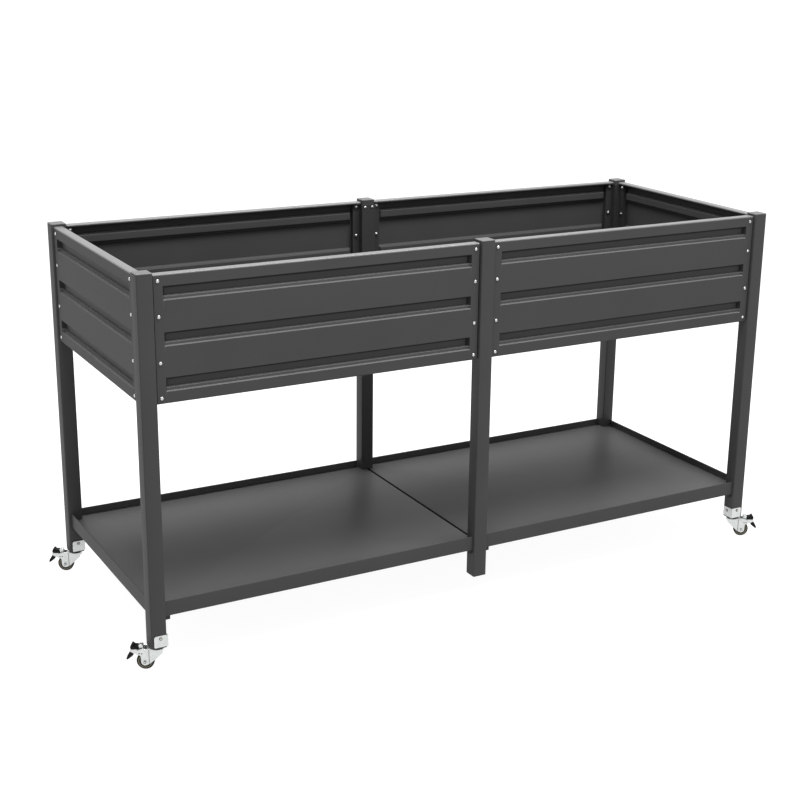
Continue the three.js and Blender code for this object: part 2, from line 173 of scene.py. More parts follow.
def powder_coat(name, colour, roughness):
    """Matte coat on sheet metal: a fine orange-peel grain and a faint cloudiness."""
    material, tree, shader = new_material(name)
    shader.inputs["Specular IOR Level"].default_value = COAT_SPECULAR
    cloud = spread(tree, noise(tree, 6.0), 0, 1)
    base = blend_colour(tree, cloud, shade(colour, 0.95), shade(colour, 1.05))
    tree.links.new(base, shader.inputs["Base Color"])
    grain = noise(tree, 1400.0, 2.0)
    tree.links.new(spread(tree, grain, roughness - 0.04, roughness + 0.04), shader.inputs["Roughness"])
    bump(tree, grain, shader, 0.25, 0.00006)
    return material


def plated_metal(name, colour, roughness):
    """Zinc or nickel plate: a mottled tint with fine wear in the polish."""
    material, tree, shader = new_material(name)
    shader.inputs["Metallic"].default_value = 1.0
    mottle = spread(tree, noise(tree, 160.0, 4.0, 0.6), 0, 1)
    base = blend_colour(tree, mottle, shade(colour, 0.9), shade(colour, 1.06))
    tree.links.new(base, shader.inputs["Base Color"])
    polish = noise(tree, 420.0, 5.0, 0.7)
    tree.links.new(spread(tree, polish, roughness - 0.07, roughness + 0.09), shader.inputs["Roughness"])
    bump(tree, polish, shader, 0.12, 0.00005)
    return material


def moulded(name, colour, roughness):
    """Moulded plastic or rubber with a fine tool grain."""
    material, tree, shader = new_material(name)
    shader.inputs["Specular IOR Level"].default_value = PLASTIC_SPECULAR
    tint = spread(tree, noise(tree, 60.0), 0, 1)
    base = blend_colour(tree, tint, shade(colour, 0.85), shade(colour, 1.15))
    tree.links.new(base, shader.inputs["Base Color"])
    grain = noise(tree, 700.0)
    tree.links.new(spread(tree, grain, roughness - 0.06, roughness + 0.08), shader.inputs["Roughness"])
    bump(tree, grain, shader, 0.3, 0.00008)
    return material


CHARCOAL = (0.029, 0.029, 0.029)
LOOKS = {
    "frame": powder_coat("frame_coat", CHARCOAL, 0.56),
    "panel": powder_coat("panel_coat", CHARCOAL, 0.6),
    # painted highlight: a lighter, glossier copy of the panel coat on the rolled rims and the groove ledges
    "panel_painted_highlight": powder_coat("panel_painted_highlight_coat", shade(CHARCOAL, 2.7), 0.32),
    # painted shade: a darker copy of the panel coat under the groove edges and on the sloped groove ends
    "panel_painted_shade": powder_coat("panel_painted_shade_coat", shade(CHARCOAL, 0.25), 0.7),
    "bed_floor": powder_coat("bed_floor_coat", shade(CHARCOAL, 0.95), 0.5),
    # painted light: the pan's floor, and its back wall's inner face, in a lighter copy of the coat its other walls
    # wear
    "shelf": powder_coat("shelf_painted_light_coat", shade(CHARCOAL, 1.5), 0.46),
    "shelf_wall": powder_coat("shelf_wall_coat", CHARCOAL, 0.56),
    # painted shade: a near-black copy of the coat on the seam's turned-down edges, for the shadow in the seam
    "seam": powder_coat("seam_painted_shade_coat", shade(CHARCOAL, 0.1), 0.8),
    "bracket": powder_coat("bracket_coat", shade(CHARCOAL, 0.7), 0.56),
    # painted highlight: the caps wear a lighter copy of the frame coat, for the light on their tops
    "cap": powder_coat("cap_painted_highlight_coat", shade(CHARCOAL, 1.9), 0.4),
    "zinc": plated_metal("zinc_plate", (0.56, 0.58, 0.57), 0.32),
    "axle_steel": plated_metal("axle_plate", (0.09, 0.09, 0.09), 0.38),
    "tyre": moulded("tyre_rubber", (0.004, 0.004, 0.004), 0.7),
    "hub": moulded("hub_plastic", (0.02, 0.019, 0.017), 0.6),
    "pedal": moulded("pedal_plastic", (0.003, 0.003, 0.003), 0.55),
    "core": moulded("wheel_core", (0.11, 0.1, 0.072), 0.5),
    "bolt": plated_metal("bolt_plate", (0.52, 0.52, 0.51), 0.3),
    "olive_nut": plated_metal("screw_plate", (0.08, 0.075, 0.045), 0.38),
}

# Mesh helpers. Shapes are gathered in a bmesh in millimetres.


def make_piece(name, mesh, looks, body, replaced=(), sharp=35):
    """Turns gathered shapes into an object that rides on a body and may stand for CAD nodes."""
    bmesh.ops.recalc_face_normals(mesh, faces=mesh.faces)
    bmesh.ops.scale(mesh, vec=(MM, MM, MM), verts=mesh.verts)
    data = bpy.data.meshes.new(name)
    mesh.to_mesh(data)
    mesh.free()
    for polygon in data.polygons:
        polygon.use_smooth = True
    data.set_sharp_from_angle(angle=math.radians(sharp))
    for look in looks:
        data.materials.append(LOOKS[look])
    piece = bpy.data.objects.new(name, data)
    bpy.context.scene.collection.objects.link(piece)
    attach(piece, body)
    if replaced:
        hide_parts(*replaced)


def loft(mesh, loops, place=Matrix(), look=0, ring=False):
    """A closed skin over a row of closed loops; ring joins the last loop to the first."""
    rows = [[mesh.verts.new(place @ Vector(point)) for point in loop] for loop in loops]
    pairs = list(zip(rows, rows[1:]))
    faces = []
    if ring:
        pairs.append((rows[-1], rows[0]))
    else:
        faces.append(mesh.faces.new(rows[0][::-1]))
        faces.append(mesh.faces.new(rows[-1]))
    for first, second in pairs:
        count = len(first)
        for i in range(count):
            j = (i + 1) % count
            faces.append(mesh.faces.new((first[i], first[j], second[j], second[i])))
    for face in faces:
        face.material_index = look


def soften(points, radius, steps=4):
    """The outline with short curves for corners; radius is one number, or a list of one a corner."""
    result = []
    count = len(points)
    radii = radius if isinstance(radius, (list, tuple)) else [radius] * count
    for i in range(count):
        before, here, after = (Vector(points[(i + k) % count]) for k in (-1, 0, 1))
        reach_in = min(radii[i], (before - here).length * 0.45)
        reach_out = min(radii[i], (after - here).length * 0.45)
        start = here + (before - here).normalized() * reach_in
        end = here + (after - here).normalized() * reach_out
        for k in range(steps + 1):
            t = k / steps
            result.append(start * (1 - t) ** 2 + here * (2 * t * (1 - t)) + end * t * t)
    return result


def is_counter_clockwise(points):
    area = 0.0
    for a, b in zip(points, points[1:] + points[:1]):
        area += a[0] * b[1] - a[1] * b[0]
    return area > 0


def inset(points, distance):
    """The outline moved inward; it runs counter-clockwise."""
    result = []
    count = len(points)
    for i in range(count):
        before, here, after = (Vector(points[(i + k) % count]) for k in (-1, 0, 1))
        first, second = (here - before).normalized(), (after - here).normalized()
        normal_a = Vector((-first.y, first.x))
        normal_b = Vector((-second.y, second.x))
        scale = distance / max(1 + normal_a.dot(normal_b), 0.3)
        result.append(here + (normal_a + normal_b) * scale)
    return result


ROUND_MIDDLE = 0.29  # how far a quarter round's middle is from its two sides, over its radius


def slab(mesh, outline, low, high, edge, place=Matrix(), look=0):
    """A flat plate with rounded edges: the outline is in x and y, the thickness in z."""
    points = [Vector(point) for point in outline]
    if not is_counter_clockwise(points):
        points.reverse()
    step = edge * ROUND_MIDDLE
    small = inset(points, edge)
    middle = inset(points, step)
    rows = [
        (small, low), (middle, low + step), (points, low + edge),
        (points, high - edge), (middle, high - step), (small, high),
    ]
    loft(mesh, [[(p.x, p.y, z) for p in row] for row, z in rows], place, look)


def circle(radius, height, segments):
    angles = [2 * math.pi * i / segments for i in range(segments)]
    return [(radius * math.cos(a), radius * math.sin(a), height) for a in angles]


def turned(mesh, profile, segments, place=Matrix(), look=0, ring=False):
    """A body turned about z from (radius, height) points."""
    loft(mesh, [circle(radius, height, segments) for radius, height in profile], place, look, ring)


def dome(mesh, place, radius, height, look=0, segments=20):
    """A domed bolt head standing along z on its washer face."""
    steps = 6
    foot = 0.18 * height
    tip = 0.05
    profile = [(radius, 0), (radius, foot)]
    for k in range(1, steps + 1):
        angle = math.pi / 2 * k / steps
        profile.append((max(radius * math.cos(angle), tip), foot + (height - foot) * math.sin(angle)))
    turned(mesh, profile, segments, place, look)


def hex_nut(mesh, place, radius, height):
    points = [Vector((x, y)) for x, y, _ in circle(radius, 0, 6)]
    slab(mesh, soften(points, 0.6, 2), 0, height, 0.5, place)


def rounded_square(half, radius, steps=5):
    corners = [(-half, -half), (half, -half), (half, half), (-half, half)]
    points = []
    for i, (x, y) in enumerate(corners):
        start = math.pi + i * math.pi / 2
        centre = Vector((x - math.copysign(radius, x), y - math.copysign(radius, y)))
        for k in range(steps + 1):
            angle = start + math.pi / 2 * k / steps
            points.append(centre + Vector((math.cos(angle), math.sin(angle))) * radius)
    return points


def facing(point, normal):
    """A frame at point whose z axis is the normal, which is level."""
    z = Vector(normal).normalized()
    x = Vector((0, 0, 1)).cross(z).normalized()
    turn = Matrix((x, z.cross(x), z)).transposed().to_4x4()
    return Matrix.Translation(Vector(point)) @ turn


# Posts and caps

POST_WALL = 1.5
POST_RADIUS = 3.0
TUBE_CUT = 0.3  # how far a tube's cut end leans in
CAP_PLATE = 3.0
CAP_EDGE = 1.6
CAP_ROUND = 0.6  # height of the rounded edge over its width
CAP_FOOT_EDGE = 0.3
CAP_CROWN = ((6, 0.08), (12, 0))  # (in from the cap's edge, below its top)
CAP_CROWN_START = 0.35
PLUG_SETBACK = 2.2
PLUG_TOP = 0.5  # above the underside of the plate


def post_centre(tag):
    low, high = box_mm(f"post_{tag}")
    return (low + high) / 2


def half_width(node):
    low, high = box_mm(node)
    return (high.x - low.x) / 2


def stack(mesh, rows, tag, ring=False):
    """Lofts (outline, height) rows centred on a post."""
    centre = post_centre(tag)
    place = Matrix.Translation((centre.x, centre.y, 0))
    loft(mesh, [[(p.x, p.y, z) for p in row] for row, z in rows], place, ring=ring)


def make_post(tag):
    low, high = box_mm(f"post_{tag}")
    half = half_width(f"post_{tag}")
    outer = rounded_square(half, POST_RADIUS)
    inner = rounded_square(half - POST_WALL, POST_RADIUS - POST_WALL)
    rows = [(inner, low.z + TUBE_CUT), (outer, low.z), (outer, high.z), (inner, high.z - TUBE_CUT)]
    mesh = bmesh.new()
    stack(mesh, rows, tag, ring=True)
    make_piece(f"post_tube_{tag}", mesh, ["frame"], ROOT, [f"post_{tag}"])


def make_cap(tag):
    """A moulded cap whose top crowns slightly, with its hollow plug."""
    low, high = box_mm(f"post_cap_{tag}")
    half = half_width(f"post_cap_{tag}")
    foot = high.z - CAP_PLATE
    rows = [
        (rounded_square(half - CAP_FOOT_EDGE, POST_RADIUS), foot),
        (rounded_square(half, POST_RADIUS), foot + CAP_FOOT_EDGE),
    ]
    rise = CAP_EDGE * CAP_ROUND
    steps = 5
    for k in range(steps + 1):
        angle = math.pi / 2 * k / steps
        outline = rounded_square(half - CAP_EDGE * (1 - math.cos(angle)), POST_RADIUS)
        rows.append((outline, high.z - CAP_CROWN_START - rise + rise * math.sin(angle)))
    for reach, below in CAP_CROWN:
        rows.append((rounded_square(half - reach, POST_RADIUS), high.z - below))
    mesh = bmesh.new()
    stack(mesh, rows, tag)
    plug_half, plug_top = half - PLUG_SETBACK, foot + PLUG_TOP
    plug = [
        (rounded_square(plug_half - 2, 1), plug_top), (rounded_square(plug_half, 1.5), plug_top),
        (rounded_square(plug_half - 0.2, 1.5), low.z), (rounded_square(plug_half - 1.6, 1), low.z),
    ]
    stack(mesh, plug, tag, ring=True)
    # the cap look is a lighter copy of the frame coat: painted highlight
    make_piece(f"cap_{tag}", mesh, ["cap"], ROOT, [f"post_cap_{tag}"])


# Wall panels. In a panel's own frame x runs along it, y goes in from its face and z is the height.

SHEET = 1.2
BEND = 3.0
TOP_FLANGE = 24.0
TOP_TURN = 5.0
POST_GAP = 2.6  # each end of a sheet stops this much short of the CAD panel's
FOOT_FLANGE = 22.0
GROOVE_TOPS = (27.0, 132.0, 237.0)  # below the panel's top
GROOVE_DEPTH = 12.0
GROOVE_MARGIN = 24.0
GROOVE_END = 7.0  # length of the sloped ends
GROOVE_LEAN = GROOVE_DEPTH / GROOVE_END
GROOVE_SECTION = (
    (0.0, 0.0), (1.4, 5.0), (4.0, 6.5), (5.4, 12.0),
    (22.6, 12.0), (24.2, 6.3), (30.6, 5.0), (32.2, 0.0),
)  # (below the groove's top, depth)
GROOVE_FOLDS = (-1.0, 3.5, 21.5, 29.5)  # where rows stand close together, below a groove's top
FOLD_ROWS = 7
FOLD_STEP = 0.5
BETWEEN_GROOVES = 55.0  # a row on the flat, below a groove's top
# the ledge bands get a painted highlight; the band under the upper edge, and the floor band where the groove's
# ends slope, get painted shade
# bands of a groove, below its top
UPWARD_SHINE_BANDS = ((22.4, 24.4), (30.4, 32.4))  # the faces that look up
SHADE_UNDER_EDGE = ((0.4, 6.6),)  # under its upper edge
END_SHADE_BAND = ((0.4, 22.4),)  # from that edge to the first ledge


def groove_depth(below):
    for (a, depth_a), (b, depth_b) in zip(GROOVE_SECTION, GROOVE_SECTION[1:]):
        if a <= below <= b:
            return depth_a + (depth_b - depth_a) * (below - a) / (b - a)
    return 0.0


def wall_depth(x, below, length):
    """Depth of the panel's face behind its flat: x from its end, below its top."""
    from_end = min(x, length - x) - GROOVE_MARGIN
    across = min(max(from_end * GROOVE_LEAN, 0.0), GROOVE_DEPTH)
    for top in GROOVE_TOPS:
        if top <= below <= top + GROOVE_SECTION[-1][0]:
            return min(groove_depth(below - top), across)
    return 0.0


def soft_depth(x, below, length):
    """The same with its folds rounded: the mean over a small square."""
    reach = 0.45
    steps = (-1.0, -0.5, 0.0, 0.5, 1.0)
    total = sum(wall_depth(x + reach * i, below + reach * k, length) for i in steps for k in steps)
    return total / len(steps) ** 2


def bend(centre, start, steps=5):
    """Points of a quarter bend of radius BEND round a centre in (y, z), from the start angle."""
    angles = [math.radians(start - 90 * k / steps) for k in range(steps + 1)]
    return [(centre[0] + BEND * math.cos(a), centre[1] + BEND * math.sin(a)) for a in angles]


def panel_rows(low, high):
    """The (y, z, is_wall) rows of a panel's outer skin, from the foot flange to the turned edge."""
    rows = [(FOOT_FLANGE, low, False)]
    rows += [(y, z, False) for y, z in bend((BEND, low + BEND), 270)]
    belows = {BEND + 1.0, high - low - BEND - 1.0}
    for top in GROOVE_TOPS:
        belows.update(top + start + FOLD_STEP * k for start in GROOVE_FOLDS for k in range(FOLD_ROWS))
        belows.add(top + BETWEEN_GROOVES)
    limit = high - low - BEND - 0.5
    rows += [(0.0, high - below, True) for below in sorted(belows, reverse=True) if below <= limit]
    rows += [(y, z, False) for y, z in bend((BEND, high - BEND), 180)]
    rows += [(y, z, False) for y, z in bend((TOP_FLANGE - BEND, high - BEND), 90)]
    rows.append((TOP_FLANGE, high - TOP_TURN, False))
    return rows


def panel_columns(length):
    """Places along a panel, close together where a groove's ends slope."""
    sloped = [GROOVE_MARGIN - 2.0 + k for k in range(13)]
    near = [0.0, 8.0, 16.0, 21.0] + sloped + [38.0, 60.0]
    return near + [length / 2] + [length - x for x in reversed(near)]


def is_rim(lower, upper, top):
    """Whether the strip between two rows is part of the rolled rim."""
    return not (lower[2] and upper[2]) and top - (lower[1] + upper[1]) / 2 < BEND


def is_within(bands, lower, upper, top):
    """Whether the strip between two rows lies in one of these bands of a groove."""
    middle = top - (lower[1] + upper[1]) / 2
    return any(start < middle - groove < finish for groove in GROOVE_TOPS for start, finish in bands)


# painted highlight and painted shade are lighter and darker copies of the plain coat
FLAT, PAINTED_SHINE, PAINTED_SHADE = 0, 1, 2  # a panel's looks


def panel_look(lower, upper, top, from_end):
    """The look of one outer face, whose middle is from_end inside the groove's end: painted highlight on the rim
    and the ledges, painted shade under a groove's upper edge and on the floor of its sloped ends.
    """
    if is_rim(lower, upper, top):
        return PAINTED_SHINE
    if from_end < 0:
        return FLAT
    if is_within(UPWARD_SHINE_BANDS, lower, upper, top):
        return PAINTED_SHINE
    end_shade = from_end < GROOVE_END and is_within(END_SHADE_BAND, lower, upper, top)
    return PAINTED_SHADE if end_shade or is_within(SHADE_UNDER_EDGE, lower, upper, top) else FLAT


def thicken(mesh, thickness, inner_looks):
    """Gives an open skin its second face, with its own looks, and its rim."""
    mesh.normal_update()
    skin = list(mesh.faces)
    rim = [edge for edge in mesh.edges if edge.is_boundary]
    twin = {vert: mesh.verts.new(vert.co + vert.normal * thickness) for vert in list(mesh.verts)}
    for face, look in zip(skin, inner_looks):
        mesh.faces.new([twin[vert] for vert in reversed(face.verts)]).material_index = look
    for edge in rim:
        a, b = edge.verts
        mesh.faces.new((a, b, twin[b], twin[a]))


def make_panel(name, corner, along, length):
    """corner is the panel's left end on its outer face, as seen from outside; along runs from there."""
    low, high = box_mm(name)
    inward = Vector((-along.y, along.x, 0))
    rows = panel_rows(low.z, high.z)
    columns = panel_columns(length)
    columns[0] += POST_GAP
    columns[-1] -= POST_GAP
    mesh = bmesh.new()
    grid = []
    for y, z, is_wall in rows:
        line = []
        for x in columns:
            depth = soft_depth(x, high.z - z, length) if is_wall else y
            line.append(mesh.verts.new(corner + along * x + inward * depth + Vector((0, 0, z))))
        grid.append(line)
    inner_looks = []
    for k, (lower, upper) in enumerate(zip(grid, grid[1:])):
        for i in range(len(columns) - 1):
            x = (columns[i] + columns[i + 1]) / 2
            from_end = min(x, length - x) - GROOVE_MARGIN
            face = mesh.faces.new((lower[i], upper[i], upper[i + 1], lower[i + 1]))
            face.material_index = panel_look(rows[k], rows[k + 1], high.z, from_end)
            # the inner face of the rim gets the painted highlight too
            inner_looks.append(PAINTED_SHINE if is_rim(rows[k], rows[k + 1], high.z) else FLAT)
    thicken(mesh, SHEET, inner_looks)
    looks = ["panel", "panel_painted_highlight", "panel_painted_shade"]
    make_piece(f"{name}_sheet", mesh, looks, ROOT, [name], sharp=50)


END_PROUD = 3.0  # how far an end panel stands out from its CAD node

# name -> direction of its x axis; its corner comes from the CAD node's box
PANELS = {
    "panel_front_left": (1, 0, 0),
    "panel_front_right": (1, 0, 0),
    "panel_back_left": (-1, 0, 0),
    "panel_back_right": (-1, 0, 0),
    "panel_left_end": (0, -1, 0),
    "panel_right_end": (0, 1, 0),
}


def panel_place(name):
    """The panel's left end on its outer face at height 0, its direction and its length."""
    low, high = box_mm(name)
    along = Vector(PANELS[name])
    x = low.x if along.x > 0 or along.y < 0 else high.x
    x += END_PROUD * along.y
    y = low.y if along.x > 0 or along.y > 0 else high.y
    length = (high.x - low.x) if along.x else (high.y - low.y)
    return Vector((x, y, 0)), along, length


# Bolts through the panel ends, with cap nuts on the joining brackets

BOLT_BELOW = (21.0, 102.0, 208.0, 290.0)  # below the top of the posts
BOLT_FROM_END = {"long": 12.5, "end": 17.5}  # on the long and the end panels
BOLT_RADIUS = 4.0
BOLT_HEIGHT = 2.6
WASHER_WIDTH = 0.8
WASHER_HEIGHT = 0.6
NUT_RADIUS = 5.0
NUT_HEIGHT = 3.2
NUT_DOME = (3.7, 2.6)  # radius and height
NUT_DEPTH = 14.7  # inner face of a joining bracket's wing behind the CAD panel's face
POST_BOLT_SPREAD = 11.0


def bolt_head(mesh, place):
    """A domed head on a dark washer."""
    rim, top = BOLT_RADIUS + WASHER_WIDTH, WASHER_HEIGHT
    turned(mesh, [(rim, 0), (rim, top - 0.2), (rim - 0.3, top), (BOLT_RADIUS - 0.6, top)], 20, place, 1)
    seat = top - 0.1
    dome(mesh, place @ Matrix.Translation((0, 0, seat)), BOLT_RADIUS, BOLT_HEIGHT - seat)


def make_bolts(name, corner, along, length):
    inward = Vector((-along.y, along.x, 0))
    top = cad_box[1].z / MM
    heads, nuts = bmesh.new(), bmesh.new()
    from_end = BOLT_FROM_END["long" if along.x else "end"]
    nut_depth = NUT_DEPTH + END_PROUD * abs(along.y)
    for x in (from_end, length - from_end):
        for below in BOLT_BELOW:
            point = corner + along * x + Vector((0, 0, top - below))
            bolt_head(heads, facing(point, -inward))
            behind = facing(point + inward * nut_depth, inward)
            hex_nut(nuts, behind, NUT_RADIUS, NUT_HEIGHT)
            dome(nuts, behind @ Matrix.Translation((0, 0, NUT_HEIGHT - 0.2)), *NUT_DOME)
    make_piece(f"bolts_{name}", heads, ["bolt", "axle_steel"], ROOT)
    make_piece(f"cap_nuts_{name}", nuts, ["bolt"], ROOT)


def make_post_bolts(tag):
    """The two bolts that hold a joining bracket to a middle post, on its inner face."""
    low, high = box_mm(f"joining_bracket_{tag}")
    inward = 1 if tag.startswith("front") else -1
    face = high.y if inward > 0 else low.y
    top = cad_box[1].z / MM
    mesh = bmesh.new()
    for x in (-POST_BOLT_SPREAD, POST_BOLT_SPREAD):
        point = (x, face, top - BOLT_BELOW[0])
        bolt_head(mesh, facing(point, (0, inward, 0)))
    make_piece(f"post_bolts_{tag}", mesh, ["bolt", "axle_steel"], ROOT)


# Shelf trays

TRAY_HEM = 3.0
TRAY_HEM_DROP = 6.0
TRAY_DEPTH = 20.0
TRAY_TUCK = 0.6  # how far the floor's edge goes into the wall
SEAM_FOLD = 0.9
SEAM_SETBACK = 2.0  # how far each pan's seam edge stands back from its CAD node's
POST_CLEARANCE = 0.5
PAN_EDGE = 0.3
# the floor look is the lighter shelf coat: painted light
PAN_PAINTED_LIGHT, PAN_WALL, PAN_SHADE_SEAM = 0, 1, 2  # a pan's looks


def hem_section(foot, rim):
    """A wall whose top is folded inward over itself: (distance in, height)."""
    radius = TRAY_HEM / 2
    fold = []
    steps = 8
    for k in range(steps + 1):
        angle = math.pi - math.pi * k / steps
        fold.append((radius + radius * math.cos(angle), rim - radius + radius * math.sin(angle)))
    return [(SHEET, foot), (0.0, foot)] + fold + [
        (TRAY_HEM, rim - TRAY_HEM_DROP), (TRAY_HEM - 0.9, rim - TRAY_HEM_DROP - 0.4),
        (SHEET + 0.3, rim - TRAY_HEM_DROP + 0.6),
    ]


def seam_section(foot, floor):
    """The edge that turns down at the seam in a round fold: (distance in, height)."""
    fold = []
    steps = 5
    for k in range(steps + 1):
        angle = math.pi / 2 * k / steps
        fold.append((SEAM_FOLD * (1 - math.cos(angle)), floor - SEAM_FOLD * (1 - math.sin(angle))))
    return [(SHEET, foot), (0.0, foot)] + fold + [(SEAM_FOLD, floor - SHEET), (SHEET, floor - SHEET - 0.3)]


def wall_along(mesh, section, start, finish, look):
    """Runs a (distance in, height) section from start to finish; in is to the left of the way."""
    start, finish = Vector((*start, 0)), Vector((*finish, 0))
    along = (finish - start).normalized()
    inward = Vector((-along.y, along.x, 0))
    loops = [[end + inward * y + Vector((0, 0, z)) for y, z in section] for end in (start, finish)]
    loft(mesh, loops, look=look)


def make_tray(end):
    """A pan with a hemmed rim on three sides and a folded edge at the middle seam."""
    low, high = box_mm(f"shelf_tray_{end}")
    foot, rim = low.z, high.z
    floor = rim - TRAY_DEPTH
    post_low, post_high = box_mm(f"post_front_{end}")
    middle_low, middle_high = box_mm("post_front_middle")
    out = -1 if end == "left" else 1
    # x of the outer wall, the corner posts' inner side, the middle posts' outer side and the seam
    outer, seam = (low.x, high.x) if out < 0 else (high.x, low.x)
    seam += out * SEAM_SETBACK
    corner = (post_high.x if out < 0 else post_low.x) - out * POST_CLEARANCE
    middle = (middle_low.x if out < 0 else middle_high.x) + out * POST_CLEARANCE
    front, back = low.y, high.y
    notch = -(post_high.y + POST_CLEARANCE)
    mesh = bmesh.new()
    tuck = TRAY_TUCK
    fold = seam + out * (SEAM_FOLD - PAN_EDGE)
    outline = [
        (corner, front + tuck), (middle, front + tuck), (middle, -notch), (fold, -notch),
        (fold, notch), (middle, notch), (middle, back - tuck), (corner, back - tuck),
        (corner, notch), (outer - out * tuck, notch), (outer - out * tuck, -notch), (corner, -notch),
    ]
    slab(mesh, outline, floor - SHEET, floor, PAN_EDGE, look=PAN_PAINTED_LIGHT)
    section = hem_section(foot, rim)
    left, right = min(corner, middle), max(corner, middle)
    wall_along(mesh, section, (left, front), (right, front), PAN_WALL)
    # the back wall shows its inner face, in the floor's lighter look: painted light
    wall_along(mesh, section, (right, back), (left, back), PAN_PAINTED_LIGHT)
    wall_along(mesh, section, (outer, out * -notch), (outer, out * notch), PAN_WALL)
    seam_ends = (seam, out * notch), (seam, out * -notch)
    # the turned-down seam edges wear the near-black painted shade
    wall_along(mesh, seam_section(foot, floor), *seam_ends, PAN_SHADE_SEAM)
    looks = ["shelf", "shelf_wall", "seam"]
    make_piece(f"shelf_pan_{end}", mesh, looks, ROOT, [f"shelf_tray_{end}"], sharp=40)


# Casters. In a caster's own frame u runs along x from the swivel axis toward the wheel, the axle
# lies along y, and z is measured from the foot of the post.

TRAIL = 27.0
WHEEL_WIDTH = 17.0
HUB_RADIUS = 14.5
CORE_RADIUS = 17.6
CHEEK = 2.0
CHEEK_INNER = WHEEL_WIDTH / 2 + 1.3
FORK_TOP = -5.6
RACE_RADIUS = 12.6
CROWN_RADIUS = 16.0
STEM_RADIUS = 3.8
STEM_LENGTH = 9.4
PEDAL_PIVOT = (38.5, -13.5)
PLATE = 2.0
PLATE_FOOT = 2.0
PLATE_TOP = 31.5
PLATE_SHORT = 6.0  # the front plate stops this far from the post's outer edge
PLATE_CORNERS = [1.0, 3.0, 6.5, 1.5]  # radii, from the folded edge's foot round to its top
PLATE_GAP = 0.3
SOLE_FOOT = -1.6
SCREW_HEIGHT = 24.0
SIDE_SCREW_DROP = 4.0
SCREW = (4.3, 1.3)  # radius and height of a mount screw's hexagon
LOBE = 9.2  # radius of the cheek round the axle
FOLD = 17.0  # where each cheek of the fork steps outward
FOLD_GAP = 1.1
SKIN = 1.0  # thickness of a cheek's inner layer
RIVET_PLACES = ((PEDAL_PIVOT[0] + 1.6, -17.6), (PEDAL_PIVOT[0] - 4.4, -17.8))
RIVET = (1.7, 0.4)  # radius and height of its head
LEVER_HALF = 7.5
RIB_PLACES = (45.5, 48, 50.5, 53)


def post_foot():
    return box_mm("post_front_left")[0].z


def caster_place(tag):
    """The caster's frame, turned to where its wheel trails."""
    axis = joints[f"wheel_spin_{tag}"]["axis"]
    heading = math.atan2(-axis[0], axis[1])
    centre = post_centre(tag)
    return Matrix.Translation((centre.x, centre.y, post_foot())) @ Matrix.Rotation(heading, 4, "Z")


def upright():
    """Stands a plate drawn in x and y on edge: its y becomes z and its thickness runs along y."""
    return Matrix.Rotation(math.pi / 2, 4, "X")


def lying(u, z):
    """A frame at the wheel's side whose z axis lies along the axle."""
    return Matrix.Translation((u, 0, z)) @ Matrix.Rotation(-math.pi / 2, 4, "X")


def wheel_height():
    low, high = box_mm("caster_tyre_front_left")
    return (low.z + high.z) / 2 - post_foot()


def wheel_radius():
    low, high = box_mm("caster_tyre_front_left")
    return (high.z - low.z) / 2


def plates(mesh, outline, spans, place, edge=0.4, look=0):
    """The same outline stood on edge at each (near, far) span across the caster."""
    for near, far in spans:
        slab(mesh, outline, -far, -near, edge, place @ upright(), look)


def both_sides(near, far):
    return [(near, far), (-far, -near)]


def make_mount(tag):
    """The zinc bracket on the post's foot: a front plate, an inner plate and a sole over the raceway."""
    out = -1 if tag.endswith("left") else 1
    centre = post_centre(tag)
    half = half_width(f"post_{tag}")
    place = Matrix.Translation((centre.x, centre.y, post_foot()))
    near, far = half + PLATE_GAP, half + PLATE_GAP + PLATE
    edge = 0.6
    mesh = bmesh.new()
    foot, top = PLATE_FOOT, PLATE_TOP
    outer_x = out * (half - PLATE_SHORT)
    front = [(-out * far, foot), (outer_x, foot), (outer_x, top), (-out * far, top)]
    slab(mesh, soften(front, PLATE_CORNERS, 6), near, far, edge, place @ upright())
    back_y = half - 3
    side = [(-far + edge, foot), (back_y, foot), (back_y, top - 1), (-far + edge, top - 1)]
    edge_on = Matrix.Rotation(math.pi / 2, 4, "Z") @ upright()
    start = near if out < 0 else -far
    slab(mesh, soften(side, PLATE_CORNERS, 6), start, start + PLATE, edge, place @ edge_on)
    sole = [(outer_x, -near), (outer_x, half), (-out * near, half), (-out * near, -near)]
    # the sole is drawn in the dark axle plate, not zinc: painted shade for the dark line under the plates
    slab(mesh, soften(sole, 4, 4), SOLE_FOOT, -PLATE_GAP, 0.4, place, 2)
    turned(mesh, [(STEM_RADIUS, SOLE_FOOT - STEM_LENGTH), (STEM_RADIUS, SOLE_FOOT)], 20, place)
    race = [(2.0, FORK_TOP + 0.5), (RACE_RADIUS - 1, FORK_TOP + 0.5), (RACE_RADIUS, FORK_TOP + 1.4),
            (RACE_RADIUS, SOLE_FOOT - 0.5), (RACE_RADIUS - 0.5, SOLE_FOOT), (2.0, SOLE_FOOT)]
    turned(mesh, race, 40, place, 1, ring=True)
    looks = ["zinc", "hub", "axle_steel"]
    make_piece(f"mount_plate_{tag}", mesh, looks, ROOT, [f"caster_mount_{tag}"])
    make_mount_screws(tag, out, far)


def make_mount_screws(tag, out, far):
    """One screw through each plate of a mount; far is the plates' outer face from the post's axis."""
    centre = post_centre(tag)
    height = post_foot() + SCREW_HEIGHT
    front = facing((centre.x - out * 3.0, centre.y - far, height), (0, -1, 0))
    side = facing((centre.x - out * far, centre.y + 1.0, height - SIDE_SCREW_DROP), (-out, 0, 0))
    screws = bmesh.new()
    for spot in (front, side):
        hex_nut(screws, spot, *SCREW)
        dome(screws, spot @ Matrix.Translation((0, 0, SCREW[1] - 0.1)), 2.1, 1.0, 1)
    make_piece(f"mount_screws_{tag}", screws, ["olive_nut", "bolt"], ROOT)


def cheek_lobe(axle):
    """The round end of a cheek, under the axle and up to its level in front."""
    angles = [math.radians(246 + 114 * k / 9) for k in range(10)]
    return [(TRAIL + LOBE * math.cos(a), axle + LOBE * math.sin(a)) for a in angles]


